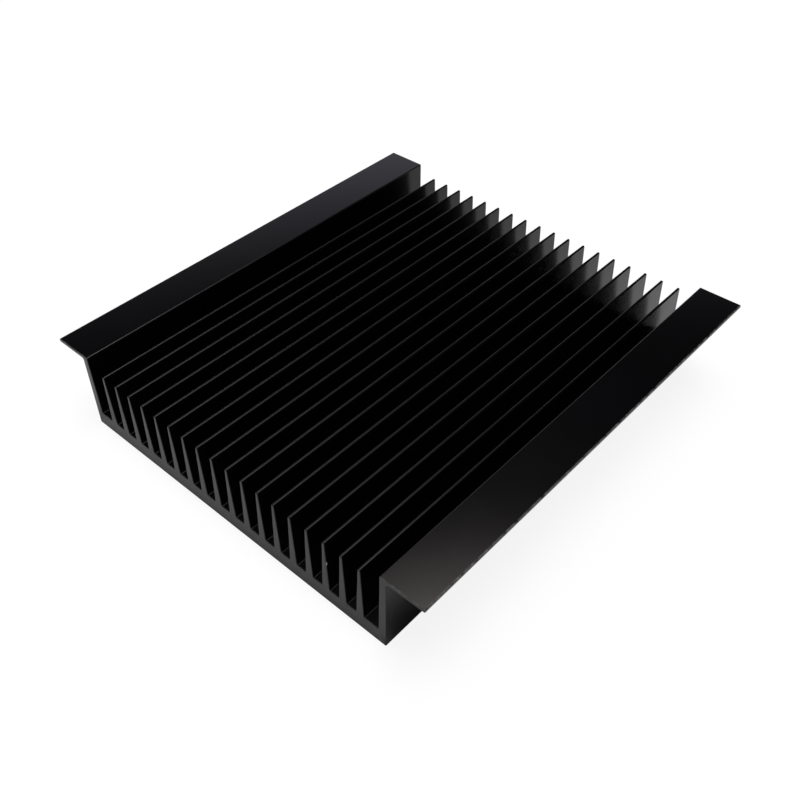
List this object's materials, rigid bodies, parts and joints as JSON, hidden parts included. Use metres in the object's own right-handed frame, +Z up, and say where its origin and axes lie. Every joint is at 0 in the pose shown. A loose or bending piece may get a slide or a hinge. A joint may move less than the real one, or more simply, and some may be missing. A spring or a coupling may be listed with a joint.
{
  "type": "heat sink",
  "caption": "Black aluminium extrusion with tapered upright fins on a flat base plate, between two side walls with outward flanges; draws heat from power electronics.",
  "frame": {"origin": "centre of the underside of the base plate", "axes": "+Y along the extrusion, +Z up from the base plate to the fin tips, +X across the fins"},
  "size_m": [0.1908, 0.2, 0.036],
  "materials": {
    "black_anodised": "satin black anodised, with drawn lines along the extrusion and sawn ends"
  },
  "bodies": {
    "root": {"heat_sink": "black_anodised"}
  },
  "joints": []
}
